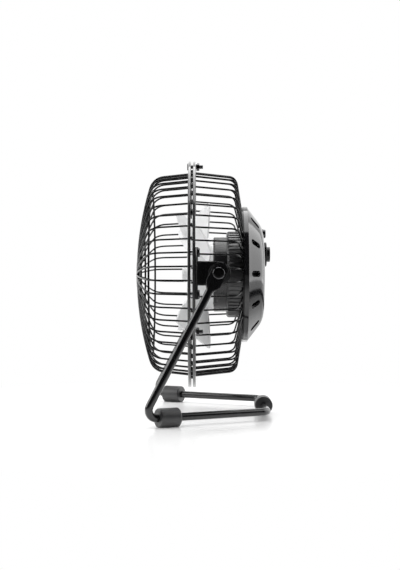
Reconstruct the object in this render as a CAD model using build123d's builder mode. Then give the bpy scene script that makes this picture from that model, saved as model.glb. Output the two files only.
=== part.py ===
from build123d import *

import math
import os

# A small desk fan: a wire-caged head that turns end over end between the two legs of a bent rod.
# Millimetres, +Z up. Air leaves towards -Y, and the tilt axis runs along X through both legs.
# The origin lies on the table, under the middle of the whole fan.
# "Reach" is a distance along the fan axis from the joint plane of the two cage rings, + rearwards.

# Clearances
seat_gap = 0.02
running_gap = 0.05
overrun = 1.0
nut_corner_share = 0.65

# Stand: one steel rod, bent into two legs, two floor rails and a cross-bar
ring_floor_clear = 21.5
rod_radius = 3.0
eyelet_thickness = 2.4
eyelet_width = 12.0
eyelet_above = 8.4
eyelet_below = 9.0
eyelet_shoulder = 6.0
leg_spread = 12.0
front_corner_reach = -35.5
rear_corner_x = 55.4
cross_bar_reach = 58.5
front_bend_radius = 7.0
rear_bend_radius = 8.0

# Feet: rubber sleeves drawn over the rod, with a small moulded flat underneath
foot_radius = 7.25
foot_length = 17.0
foot_edge_radius = 1.0
foot_flat_depth = 0.3
front_foot_after_bend = 1.0

# Cage rings: two flat pressed rings with rolled edges
ring_radius = 92.5
ring_width = 8.4
ring_thickness = 2.3
ring_play = 0.1
ring_edge_radius = 0.9

# Cage wires, measured along their centre lines
wire_count = 48
half_step_share = 0.5
wire_radius = 0.65
tab_lap = 1.4
tab_bend_radius = 1.3
tab_side_gap = 0.2
front_side_inset = 1.6
front_side_draft = 6.2
front_corner_radius = 12.35
dome_radius = 244.35
dome_reach = -44.65
rear_side_inset = 0.75
rear_side_draw = 3.85
rear_shoulder_reach = 35.6
rear_face_slope_share = 1 / 6
rear_corner_radius = 7.0
rear_fold_radius = 10.0
rear_fold_clear = 2.0
rear_wire_lap = 2.5

# Front hoops, disc and badge
hoop_wire_radius = 0.8
outer_hoop_share = 0.8424
inner_hoop_share = 0.4606
disc_radius = 14.0
disc_thickness = 1.2
disc_rim = 2.2
badge_edge_radius = 0.9
badge_gap = 0.6

# Rim screws, nuts and washers
rim_screw_count = 3
rim_screw_inset = 4.2
rim_screw_angle = 90.0
m3_radius = 1.5
rim_head_radius = 2.9
rim_head_height = 1.1
rim_nut_across = 5.5
rim_nut_height = 2.4
rim_washer_radius = 3.5
rim_washer_thickness = 0.5
rim_tip = 2.9

# Pivot brackets
bracket_thickness = 1.8
bracket_ring_gap = 0.8
bracket_foot_inset = 1.1
bracket_foot_height = 39.0
bracket_corner_radius = 2.5
arm_radius = 9.1
pivot_reach = 20.3
bracket_screw_end_inset = 3.7
bracket_screw_inset = 4.4
bracket_head_radius = 3.6
bracket_head_height = 1.5
spacer_radius = 2.15

# Pivot screws, washers and nuts
m4_radius = 2.0
pivot_washer_inset = 1.2
pivot_washer_thickness = 0.6
pivot_washer_gap = 0.08
pivot_head_radius = 4.65
pivot_head_height = 2.6
pivot_nut_across = 7.0
pivot_nut_height = 3.2
pivot_tip = 0.6
recess_width = 1.0
recess_length = 4.6
recess_depth = 1.5

# Rear plate
plate_radius = 55.0
plate_thickness = 1.2
plate_vent_radius = 4.0
plate_vent_circle_share = 0.8
plate_vent_count = 12

# Rear cover
cover_overhang = 0.5
cover_flange_run = 3.58
cover_step = 0.5
cover_cone_depth = 13.4
cover_face_rim = 11.25
cover_edge_radius = 20.0
cover_wall = 2.0
slot_count = 12
slot_length = 11.4
slot_width = 4.8
slot_inset = 7.7
slot_cut_share = 1.25
column_radius = 4.0
column_switch_gap = 6.95
column_proud = 0.1
cover_head_radius = 3.5
cover_head_height = 2.0

# Motor
can_radius = 30.5
can_wall = 1.4
can_front_thickness = 1.6
can_edge_radius = 1.2
end_cap_thickness = 1.7
end_cap_spigot = 2.2
housing_wall = 4.7
housing_length = 11.98
housing_rib_depth = 0.6
housing_rib_count = 60
housing_edge_radius = 2.4
motor_screw_count = 3
motor_screw_angle = 30.0
motor_screw_radius = 1.2
motor_screw_head_radius = 2.25
motor_screw_head_height = 1.5
motor_screw_depth = 6.0
bush_radius = 5.0
bush_length = 6.0
boss_radius = 7.0
shaft_radius = 2.0
rotor_front_play = 0.8
rotor_rear_play = 0.98
stator_length = 8.0
stator_yoke = 3.5
tooth_count = 6
tooth_width = 5.0
pole_radius_share = 0.4361
pole_thickness = 2.2
pole_half_angle = 22.0
winding_build = 2.4
winding_pole_gap = 0.7
air_gap = 0.7
rotor_core_share = 0.635
lead_radius = 0.7
lead_inset = 10.5
lead_angle = 10.0

# Blade wheel
hub_radius = 29.6
hub_can_gap = 0.5
hub_length = 20.9
hub_wall = 1.8
hub_edge_radius = 5.0
hub_boss_radius = 5.0
hub_boss_length = 16.0
blade_count = 4
blade_phase = 56.6
blade_tip_clear = 20.6
blade_tip_corner_radius = 7.5
blade_thickness = 1.4
blade_root_sink = 1.2
blade_camber_share = 0.09
blade_width = 43.6
blade_depth = 28.0
# Each section of a blade: its place along the span, its half width, half depth and mid depth behind the hub
blade_section_shares = (
    (-0.04, 0.2064, 0.2679, 0.3286),
    (0.4444, 0.3555, 0.4143, 0.2286),
    (1.0712, 0.5, 0.5, 0.1715),
)
blade_root_half_width = 8.0
blade_bulge_share = 0.5014
blade_bulge_half_width = 17.0
blade_tip_half_angle = 19.0
blade_nut_radius = 6.0
blade_nut_height = 4.2
blade_nut_edge_radius = 1.6
shaft_thread = 3.0

# Push button and its switch
switch_rise = 16.4
bezel_overhang = 1.35
bezel_thickness = 1.9
bezel_edge_radius = 0.6
switch_washer_width = 1.0
switch_washer_thickness = 0.8
barrel_radius = 7.6
barrel_wall = 1.3
barrel_floor = 2.4
switch_nut_wall = 1.15
switch_nut_height = 2.0
button_side_gap = 0.2
button_proud = 2.9
button_edge_radius = 0.5
button_skirt = 7.0
button_wall = 1.1
button_crown = 3.2
button_travel = 1.5
spring_side_gap = 0.6
spring_wall = 0.6

# Circuit board and power inlet
board_width = 36.0
board_column_gap = 1.3
board_thickness = 1.6
board_inset = 11.8
board_drop = 1.0
post_radius = 2.6
post_x = 13.0
board_screw_radius = 1.0
board_screw_head_radius = 2.2
board_screw_head_height = 1.2
board_screw_depth = 5.0
chip_size = 9.0
chip_height = 1.4
capacitor_radius = 2.2
capacitor_height = 3.2
inlet_width = 8.0
inlet_height = 3.0
inlet_corner_radius = 0.9
inlet_wall = 0.45
inlet_depth = 6.0
inlet_sunk = 0.2
inlet_tongue_width = 4.4
inlet_tongue_thickness = 0.6

# Places that follow from the sizes above: rings, cage and front
axis_height = ring_radius + ring_floor_clear
ring_inner_radius = ring_radius - ring_width
ring_gap = 2 * wire_radius + ring_play
ring_front_reach = -ring_gap / 2 - ring_thickness
ring_rear_reach = ring_gap / 2 + ring_thickness
rim_screw_circle_radius = ring_inner_radius + rim_screw_inset
bracket_screw_circle_radius = ring_inner_radius + bracket_screw_inset
tab_end_radius = ring_inner_radius + tab_lap
tab_side_step = 2 * wire_radius + tab_side_gap
front_side_radius = ring_inner_radius - front_side_inset
rear_side_radius = ring_inner_radius - rear_side_inset
rear_shoulder_radius = rear_side_radius - rear_side_draw
outer_hoop_radius = front_side_radius * outer_hoop_share
inner_hoop_radius = front_side_radius * inner_hoop_share
badge_radius = disc_radius - disc_rim

# Places of the rear plate and of the motor and blade wheel in front of it
rear_fold_at = plate_radius + rear_fold_clear
rear_wire_end = plate_radius - rear_wire_lap
rear_face_fall = (rear_shoulder_radius - rear_fold_at) * rear_face_slope_share
plate_front_reach = rear_shoulder_reach + rear_face_fall + wire_radius
plate_rear_reach = plate_front_reach + plate_thickness
plate_vent_circle_radius = plate_radius * plate_vent_circle_share
end_cap_rear = plate_front_reach - seat_gap
end_cap_front = end_cap_rear - end_cap_thickness
can_rear_reach = end_cap_front - seat_gap
rear_bush_front = end_cap_rear - bush_length
stator_front_reach = rear_bush_front - rotor_rear_play - stator_length
front_bush_reach = stator_front_reach - rotor_front_play - bush_length
can_front_reach = front_bush_reach - can_front_thickness / 2
housing_radius = can_radius + housing_wall
pole_radius = can_radius * pole_radius_share
winding_inner_radius = pole_radius + pole_thickness + winding_pole_gap
rotor_radius = pole_radius - air_gap
rotor_core_radius = rotor_radius * rotor_core_share
lead_circle_radius = can_radius - lead_inset
hub_rear_reach = can_front_reach - hub_can_gap
hub_front_reach = hub_rear_reach - hub_length
blade_root_radius = hub_radius - blade_root_sink
blade_tip_radius = ring_inner_radius - blade_tip_clear
blade_bulge_radius = blade_root_radius + (blade_tip_radius - blade_root_radius) * blade_bulge_share

# Places of the cover, switch and circuit board behind the plate
cover_radius = plate_radius + cover_overhang
cover_front_reach = plate_rear_reach + seat_gap
cover_flange_reach = cover_front_reach + cover_flange_run
cover_face_reach = cover_flange_reach + cover_cone_depth
slot_reach = cover_face_reach - slot_inset
column_reach = cover_face_reach + column_proud
switch_washer_radius = barrel_radius + switch_washer_width
bezel_radius = switch_washer_radius + bezel_overhang
cover_cone_end_radius = switch_rise + bezel_radius + cover_face_rim
column_circle_radius = switch_rise + bezel_radius + column_switch_gap
barrel_bore_radius = barrel_radius - barrel_wall
switch_nut_across = 2 * (barrel_radius + switch_nut_wall)
button_radius = barrel_bore_radius - button_side_gap
button_cavity_radius = button_radius - button_wall
spring_radius = button_cavity_radius - spring_side_gap
board_height = 2 * (column_circle_radius - column_radius - board_column_gap)
board_front_reach = cover_face_reach - board_inset

# Places of the pivots and the stand, and the fan axis
bracket_inner_x = ring_radius + bracket_ring_gap
bracket_outer_x = bracket_inner_x + bracket_thickness
bracket_foot_inner_x = ring_inner_radius + bracket_foot_inset
bracket_screw_rise = bracket_foot_height / 2 - bracket_screw_end_inset
pivot_washer_radius = arm_radius - pivot_washer_inset
washer_x = bracket_outer_x + seat_gap
eyelet_x = washer_x + pivot_washer_thickness + pivot_washer_gap + eyelet_thickness / 2
front_corner_x = eyelet_x + leg_spread
foot_centre_height = foot_radius - foot_flat_depth
front_reach = abs(dome_reach) + wire_radius
button_reach = cover_face_reach + switch_washer_thickness + bezel_thickness + button_proud
rear_reach = max(button_reach, cross_bar_reach + foot_radius)
ring_y = (front_reach - rear_reach) / 2
pivot_y = ring_y + pivot_reach
head_plane = Plane(origin=(0, ring_y, axis_height), x_dir=(-1, 0, 0), z_dir=(0, 1, 0))
section_plane = Plane(origin=(0, ring_y, axis_height), x_dir=(0, 1, 0), z_dir=(1, 0, 0))
fan_axis = Axis((0, ring_y, axis_height), (0, 1, 0))
os.makedirs("parts", exist_ok=True)


def save(part, name):
    """Label one finished piece and write its file."""
    part.label = name
    export_step(part, f"parts/{name}.step")


def section(reach, radius):
    """A point of the head's half section, as a vector in the part's own frame."""
    return section_plane.from_local_coords(Vector(reach, radius))


def disc_between(start, end, outer, inner=0, circle=0, count=1, first=0):
    """Flat rings or rods along the fan axis, one or several on a circle."""
    with BuildPart() as block:
        with BuildSketch(head_plane.offset(start)):
            with PolarLocations(circle, count, start_angle=first):
                Circle(outer)
                if inner:
                    Circle(inner, mode=Mode.SUBTRACT)
        extrude(amount=end - start)
    return block.part


def cross_screw(shank_radius, shank_length, head_radius, head_height, rounding, recess=1.0):
    """A domed screw along +Z from under its head, with a cross recess in the head."""
    with BuildPart() as screw:
        with BuildSketch():
            Circle(shank_radius)
        extrude(amount=shank_length)
        with BuildSketch():
            Circle(head_radius)
        extrude(amount=-head_height)
        fillet(screw.faces().sort_by(Axis.Z)[0].edges(), rounding)
        with BuildSketch(Plane.XY.offset(-head_height)):
            Rectangle(recess * recess_length, recess * recess_width)
            Rectangle(recess * recess_width, recess * recess_length)
        extrude(amount=recess * recess_depth, mode=Mode.SUBTRACT)
    return screw.part


def hex_nut(across, height, bore_radius):
    """A nut along +Z with its corners turned down on both faces."""
    with BuildPart() as nut:
        with BuildSketch():
            RegularPolygon(across / 2, 6, major_radius=False)
            Circle(bore_radius, mode=Mode.SUBTRACT)
        extrude(amount=height)
        flat = across / 2
        corner = across * nut_corner_share
        bevel = (corner - flat) / 2
        with BuildSketch(Plane.XZ):
            Polygon(
                (0, 0), (flat, 0), (corner, bevel), (corner, height - bevel), (flat, height), (0, height),
                align=None,
            )
        revolve(axis=Axis.Z, mode=Mode.INTERSECT)
    return nut.part


# Stand rod: the legs lean forward and spread a little, the rails close in towards the cross-bar.
# Each end is pressed flat against the rod's inner side, so that the rod clears the turning bracket.
leg_top = Vector(eyelet_x, pivot_y, axis_height)
leg_foot = Vector(front_corner_x, ring_y + front_corner_reach, foot_centre_height)
rear_corner = Vector(rear_corner_x, ring_y + cross_bar_reach, foot_centre_height)
flat_leg_direction = Vector(0, leg_foot.Y - leg_top.Y, leg_foot.Z - leg_top.Z).normalized()
rod_offset = Vector(rod_radius - eyelet_thickness / 2, 0, 0)
rod_start = leg_top + rod_offset + flat_leg_direction * (eyelet_below + eyelet_shoulder)
leg_run = leg_foot - rod_start


def mirrored(point):
    """The same point on the other leg."""
    return Vector(-point.X, point.Y, point.Z)


with BuildPart() as stand_rod:
    with BuildLine() as rod_path:
        FilletPolyline(
            rod_start, leg_foot, rear_corner, mirrored(rear_corner), mirrored(leg_foot), mirrored(rod_start),
            radius=(front_bend_radius, rear_bend_radius, rear_bend_radius, front_bend_radius),
        )
    with BuildSketch(Plane(origin=rod_path.line @ 0, z_dir=rod_path.line % 0)):
        Circle(rod_radius)
    sweep(path=rod_path.line)
    for side in (-1, 1):
        eyelet_plane = Plane(
            origin=(side * (eyelet_x - side * eyelet_thickness / 2), pivot_y, axis_height),
            x_dir=flat_leg_direction,
            z_dir=(1, 0, 0),
        )
        with BuildSketch(eyelet_plane):
            with Locations(((eyelet_below - eyelet_above) / 2, 0)):
                RectangleRounded(eyelet_below + eyelet_above, eyelet_width, eyelet_width / 2 - seat_gap)
            with Locations((eyelet_below / 2, 0)):
                Rectangle(eyelet_below, eyelet_width)
        extrude(amount=eyelet_thickness)
        neck = Vector(side * eyelet_x, pivot_y, axis_height) + flat_leg_direction * eyelet_below
        neck_plane = Plane(origin=neck, x_dir=(1, 0, 0), z_dir=flat_leg_direction)
        rod_end = Vector(side * rod_start.X, rod_start.Y, rod_start.Z)
        rod_end_direction = Vector(side * leg_run.X, leg_run.Y, leg_run.Z)
        with BuildSketch(neck_plane):
            Rectangle(eyelet_thickness, eyelet_width)
        with BuildSketch(Plane(origin=rod_end, x_dir=(1, 0, 0), z_dir=rod_end_direction)):
            Circle(rod_radius)
        loft()
        with BuildSketch(eyelet_plane.offset(-overrun)):
            Circle(m4_radius + running_gap)
        extrude(amount=eyelet_thickness + 2 * overrun, mode=Mode.SUBTRACT)
save(stand_rod.part, "stand_rod")

# Feet: two sleeves on the rails just behind the front bends, one in the middle of the cross-bar
rail_direction = (rear_corner - leg_foot).normalized()
leg_direction = leg_run.normalized()
front_turn = math.radians(leg_direction.get_angle(rail_direction))
front_tangent = front_bend_radius * math.tan(front_turn / 2)


def foot(centre, direction):
    """One rubber sleeve round the rod, cut flat where it stands."""
    with BuildPart() as sleeve:
        with BuildSketch(Plane(origin=centre - direction * (foot_length / 2), z_dir=direction)):
            Circle(foot_radius)
        extrude(amount=foot_length)
        fillet(sleeve.edges().filter_by(GeomType.CIRCLE), foot_edge_radius)
        with BuildSketch(Plane(origin=centre - direction * foot_length, z_dir=direction)):
            Circle(rod_radius + seat_gap)
        extrude(amount=2 * foot_length, mode=Mode.SUBTRACT)
        split(bisect_by=Plane.XY, keep=Keep.TOP)
    return sleeve.part


foot_along = front_tangent + front_foot_after_bend + foot_length / 2
front_foot_centre = leg_foot + rail_direction * foot_along
save(foot(front_foot_centre, rail_direction), "front_foot_right")
save(foot(mirrored(front_foot_centre), mirrored(rail_direction)), "front_foot_left")
save(foot(Vector(0, rear_corner.Y, foot_centre_height), Vector(1, 0, 0)), "rear_foot")

# Cage rings: drilled for the rim screws and for the bracket screws
bracket_screw_angle = math.degrees(math.asin(bracket_screw_rise / bracket_screw_circle_radius))
bracket_screw_angles = (
    bracket_screw_angle, -bracket_screw_angle, 180 - bracket_screw_angle, 180 + bracket_screw_angle,
)


def ring(front_face):
    """One flat ring with rolled edges and its screw holes."""
    with BuildPart() as band:
        with BuildSketch(head_plane.offset(front_face)):
            Circle(ring_radius)
            Circle(ring_inner_radius, mode=Mode.SUBTRACT)
        extrude(amount=ring_thickness)
        fillet(band.edges(), ring_edge_radius)
        with BuildSketch(head_plane.offset(front_face - overrun)):
            with PolarLocations(rim_screw_circle_radius, rim_screw_count, start_angle=rim_screw_angle):
                Circle(m3_radius + seat_gap)
            for angle in bracket_screw_angles:
                with PolarLocations(bracket_screw_circle_radius, 1, start_angle=angle):
                    Circle(m3_radius + seat_gap)
        extrude(amount=ring_thickness + 2 * overrun, mode=Mode.SUBTRACT)
    return band.part


save(ring(ring_front_reach), "front_ring")
save(ring(ring_gap / 2), "rear_ring")

# Front wires: a short tab in the ring gap, the side of the drum, a rounded shoulder and the dome
dome_centre = Vector(dome_reach + dome_radius, 0)
side_draft = math.radians(front_side_draft)
side_direction = Vector(-math.cos(side_draft), -math.sin(side_draft))
side_normal = Vector(math.sin(side_draft), -math.cos(side_draft))
front_tab_reach = -ring_gap / 2 + wire_radius
front_tab_corner = Vector(front_tab_reach, front_side_radius)
shoulder_start = front_tab_corner + side_normal * front_corner_radius - dome_centre
shoulder_dot = shoulder_start.dot(side_direction)
shoulder_room = (dome_radius - front_corner_radius) ** 2 - shoulder_start.dot(shoulder_start)
side_length = math.sqrt(shoulder_dot ** 2 + shoulder_room) - shoulder_dot
side_end = front_tab_corner + side_direction * side_length
shoulder_centre = side_end + side_normal * front_corner_radius
dome_start = dome_centre + (shoulder_centre - dome_centre).normalized() * dome_radius
front_wire_end = badge_radius + badge_gap


def dome_point(radius, depth=0):
    """A point on the dome's wire centre lines, or that far inside them."""
    inner = dome_radius - depth
    return Vector(dome_centre.X - math.sqrt(inner ** 2 - radius ** 2), radius)


dome_middle = dome_point((dome_start.Y + front_wire_end) / 2)
dome_end = dome_point(front_wire_end)
shoulder_mid_direction = (side_end + dome_start) * 0.5 - shoulder_centre
shoulder_middle = shoulder_centre + shoulder_mid_direction.normalized() * front_corner_radius


def cage(wire, turn):
    """All the wires of one cage, copied round the fan axis, half a step off the level."""
    step = 360 / wire_count
    angles = [turn + step * (index + half_step_share) for index in range(wire_count)]
    return Compound([wire.rotate(fan_axis, angle) for angle in angles])


with BuildPart() as front_wire:
    with BuildLine(section_plane) as front_wire_path:
        FilletPolyline(
            (front_tab_reach, tab_end_radius), tuple(front_tab_corner), tuple(side_end),
            radius=tab_bend_radius,
        )
        ThreePointArc(tuple(side_end), tuple(shoulder_middle), tuple(dome_start))
        ThreePointArc(tuple(dome_start), tuple(dome_middle), tuple(dome_end))
    with BuildSketch(Plane(origin=section(front_tab_reach, tab_end_radius), z_dir=(0, 0, -1))):
        Circle(wire_radius)
    sweep(path=front_wire_path.line)
save(cage(front_wire.part, 0), "front_wires")

# Rear wires: the same drum side, a tighter shoulder, then a fold that lies flat on the rear plate
rear_tab_reach = -front_tab_reach
rear_flat_reach = plate_front_reach - seat_gap - wire_radius
tab_turn = math.degrees(tab_side_step / tab_end_radius)
with BuildPart() as rear_wire:
    with BuildLine(section_plane) as rear_wire_path:
        FilletPolyline(
            (rear_tab_reach, tab_end_radius),
            (rear_tab_reach, rear_side_radius),
            (rear_shoulder_reach, rear_shoulder_radius),
            (rear_flat_reach, rear_fold_at),
            (rear_flat_reach, rear_wire_end),
            radius=(tab_bend_radius, rear_corner_radius, rear_fold_radius),
        )
    with BuildSketch(Plane(origin=section(rear_tab_reach, tab_end_radius), z_dir=(0, 0, -1))):
        Circle(wire_radius)
    sweep(path=rear_wire_path.line)
save(cage(rear_wire.part, -tab_turn), "rear_wires")

# Front hoops: two welded wire circles just inside the dome
hoop_depth = wire_radius + hoop_wire_radius + seat_gap
for hoop_name, hoop_radius in (
    ("front_outer_hoop", outer_hoop_radius), ("front_inner_hoop", inner_hoop_radius),
):
    with BuildPart() as hoop:
        with BuildSketch(section_plane):
            with Locations(dome_point(hoop_radius, hoop_depth)):
                Circle(hoop_wire_radius)
        revolve(axis=fan_axis)
    save(hoop.part, hoop_name)

# Front disc behind the wire ends, and the plain badge that caps it between them
disc_front_reach = dome_point(disc_radius, -wire_radius).X + 2 * wire_radius + seat_gap
with BuildPart() as front_disc:
    with BuildSketch(head_plane.offset(disc_front_reach)):
        Circle(disc_radius)
    extrude(amount=disc_thickness)
    fillet(front_disc.edges().sort_by(Axis.Y)[-1], disc_thickness / 2)
save(front_disc.part, "front_disc")
with BuildPart() as front_badge:
    with BuildSketch(head_plane.offset(disc_front_reach)):
        Circle(badge_radius)
    extrude(amount=-(front_reach + disc_front_reach))
    fillet(front_badge.edges().sort_by(Axis.Y)[0], badge_edge_radius)
save(front_badge.part, "front_badge")

# Rim screws: heads at the front, washers and nuts behind the rear ring
rim_stack = ring_rear_reach + rim_washer_thickness + rim_nut_height
rim_screw = cross_screw(
    m3_radius, rim_stack + rim_tip - ring_front_reach, rim_head_radius, rim_head_height,
    rim_head_height / 2, recess=rim_head_radius / pivot_head_radius,
)
with BuildPart(head_plane.offset(ring_front_reach)) as rim_screws:
    with PolarLocations(rim_screw_circle_radius, rim_screw_count, start_angle=rim_screw_angle):
        add(rim_screw)
save(rim_screws.part, "rim_screws")
save(
    disc_between(
        ring_rear_reach, ring_rear_reach + rim_washer_thickness, rim_washer_radius, m3_radius + seat_gap,
        circle=rim_screw_circle_radius, count=rim_screw_count, first=rim_screw_angle,
    ),
    "rim_washers",
)
with BuildPart(head_plane.offset(ring_rear_reach + rim_washer_thickness)) as rim_nuts:
    with PolarLocations(rim_screw_circle_radius, rim_screw_count, start_angle=rim_screw_angle):
        add(hex_nut(rim_nut_across, rim_nut_height, m3_radius + seat_gap))
save(rim_nuts.part, "rim_nuts")

# Pivot brackets: a tall foot on the back of the rear ring, folded into an arm with a round end
bracket_screw_x = math.sqrt(bracket_screw_circle_radius ** 2 - bracket_screw_rise ** 2)


def bracket(side):
    """One folded bracket for the leg on that side."""
    inner = side * bracket_inner_x
    outer = side * bracket_outer_x
    foot_x = side * bracket_foot_inner_x
    front = ring_y + ring_rear_reach
    back = pivot_y + arm_radius
    floor = axis_height - bracket_foot_height / 2
    with BuildPart() as plate:
        with BuildSketch(Plane.XY.offset(floor)):
            with BuildLine():
                Polyline(
                    (foot_x, front), (outer, front), (outer, back), (inner, back),
                    (inner, front + bracket_thickness), (foot_x, front + bracket_thickness), close=True,
                )
            fold = make_face()
            fillet(fold.vertices().sort_by_distance(Vector(outer, front))[0], bracket_corner_radius)
        extrude(amount=bracket_foot_height)
        with BuildSketch(Plane.YZ.offset(min(foot_x, outer) - overrun)):
            with Locations(((front + pivot_y) / 2, axis_height)):
                Rectangle(pivot_y - front, 2 * arm_radius)
            with Locations((pivot_y, axis_height)):
                Circle(arm_radius)
                Circle(m4_radius + seat_gap, mode=Mode.SUBTRACT)
            with Locations((front + bracket_thickness / 2, axis_height)):
                Rectangle(bracket_thickness, bracket_foot_height)
        extrude(amount=abs(outer - foot_x) + 2 * overrun, mode=Mode.INTERSECT)
        with BuildSketch(Plane.XZ.offset(-(front - overrun))):
            for rise in (-bracket_screw_rise, bracket_screw_rise):
                with Locations((side * bracket_screw_x, axis_height + rise)):
                    Circle(m3_radius + seat_gap)
        extrude(amount=-(bracket_thickness + 2 * overrun), mode=Mode.SUBTRACT)
    return plate.part


save(bracket(-1), "pivot_bracket_left")
save(bracket(1), "pivot_bracket_right")

# Bracket screws: in from behind, through the foot and the rear ring, threaded into the front ring
bracket_back_reach = ring_rear_reach + bracket_thickness
bracket_screw = cross_screw(
    m3_radius, bracket_back_reach - ring_front_reach - seat_gap, bracket_head_radius, bracket_head_height,
    bracket_head_height * 2 / 3, recess=bracket_head_radius / pivot_head_radius * 2 / 3,
)
with BuildPart() as bracket_screws:
    for angle in bracket_screw_angles:
        turn = math.radians(angle)
        screw_x = bracket_screw_circle_radius * math.cos(turn)
        screw_z = bracket_screw_circle_radius * math.sin(turn)
        place = head_plane.from_local_coords(Vector(screw_x, screw_z, bracket_back_reach))
        with Locations(Plane(origin=place, x_dir=(1, 0, 0), z_dir=(0, -1, 0))):
            add(bracket_screw)
save(bracket_screws.part, "bracket_screws")
with BuildPart() as ring_spacers:
    for angle in bracket_screw_angles:
        add(
            disc_between(
                -ring_gap / 2, ring_gap / 2, spacer_radius, m3_radius + seat_gap,
                circle=bracket_screw_circle_radius, first=angle,
            )
        )
save(ring_spacers.part, "ring_spacers")

# Pivot hardware, from the leg inwards: screw head, eyelet, washer, bracket arm, nut
eyelet_outer_x = eyelet_x + eyelet_thickness / 2
nut_x = bracket_inner_x - seat_gap
pivot_shank = eyelet_outer_x + running_gap - nut_x + pivot_nut_height + pivot_tip
pivot_screw = cross_screw(
    m4_radius, pivot_shank, pivot_head_radius, pivot_head_height, pivot_head_height / 2
)
with BuildPart() as pivot_screws:
    for side in (-1, 1):
        with Locations(Plane(
            origin=(side * (eyelet_outer_x + running_gap), pivot_y, axis_height),
            x_dir=(0, 0, 1), z_dir=(-side, 0, 0),
        )):
            add(pivot_screw)
save(pivot_screws.part, "pivot_screws")
with BuildPart() as pivot_washers:
    for side in (-1, 1):
        with BuildSketch(Plane(
            origin=(side * washer_x, pivot_y, axis_height), x_dir=(0, 0, 1), z_dir=(side, 0, 0)
        )):
            Circle(pivot_washer_radius)
            Circle(m4_radius + seat_gap, mode=Mode.SUBTRACT)
        extrude(amount=pivot_washer_thickness)
save(pivot_washers.part, "pivot_washers")
with BuildPart() as pivot_nuts:
    for side in (-1, 1):
        with Locations(Plane(
            origin=(side * nut_x, pivot_y, axis_height), x_dir=(0, 0, 1), z_dir=(-side, 0, 0)
        )):
            add(hex_nut(pivot_nut_across, pivot_nut_height, m4_radius + seat_gap))
save(pivot_nuts.part, "pivot_nuts")

# Rear plate: a pressed disc that the rear wires are welded to
motor_screw_circle_radius = (can_radius + housing_radius - housing_rib_depth) / 2
lead_angles = (-90 - lead_angle, -90 + lead_angle)
with BuildPart() as rear_plate:
    with BuildSketch(head_plane.offset(plate_front_reach)):
        Circle(plate_radius)
        with PolarLocations(plate_vent_circle_radius, plate_vent_count, start_angle=180 / plate_vent_count):
            Circle(plate_vent_radius, mode=Mode.SUBTRACT)
        with PolarLocations(motor_screw_circle_radius, motor_screw_count, start_angle=motor_screw_angle):
            Circle(motor_screw_radius + seat_gap, mode=Mode.SUBTRACT)
        with Locations((0, column_circle_radius)):
            Circle(m3_radius + seat_gap, mode=Mode.SUBTRACT)
        for angle in lead_angles:
            with PolarLocations(lead_circle_radius, 1, start_angle=angle):
                Circle(lead_radius + running_gap, mode=Mode.SUBTRACT)
    extrude(amount=plate_thickness)
save(rear_plate.part, "rear_plate")

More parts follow.
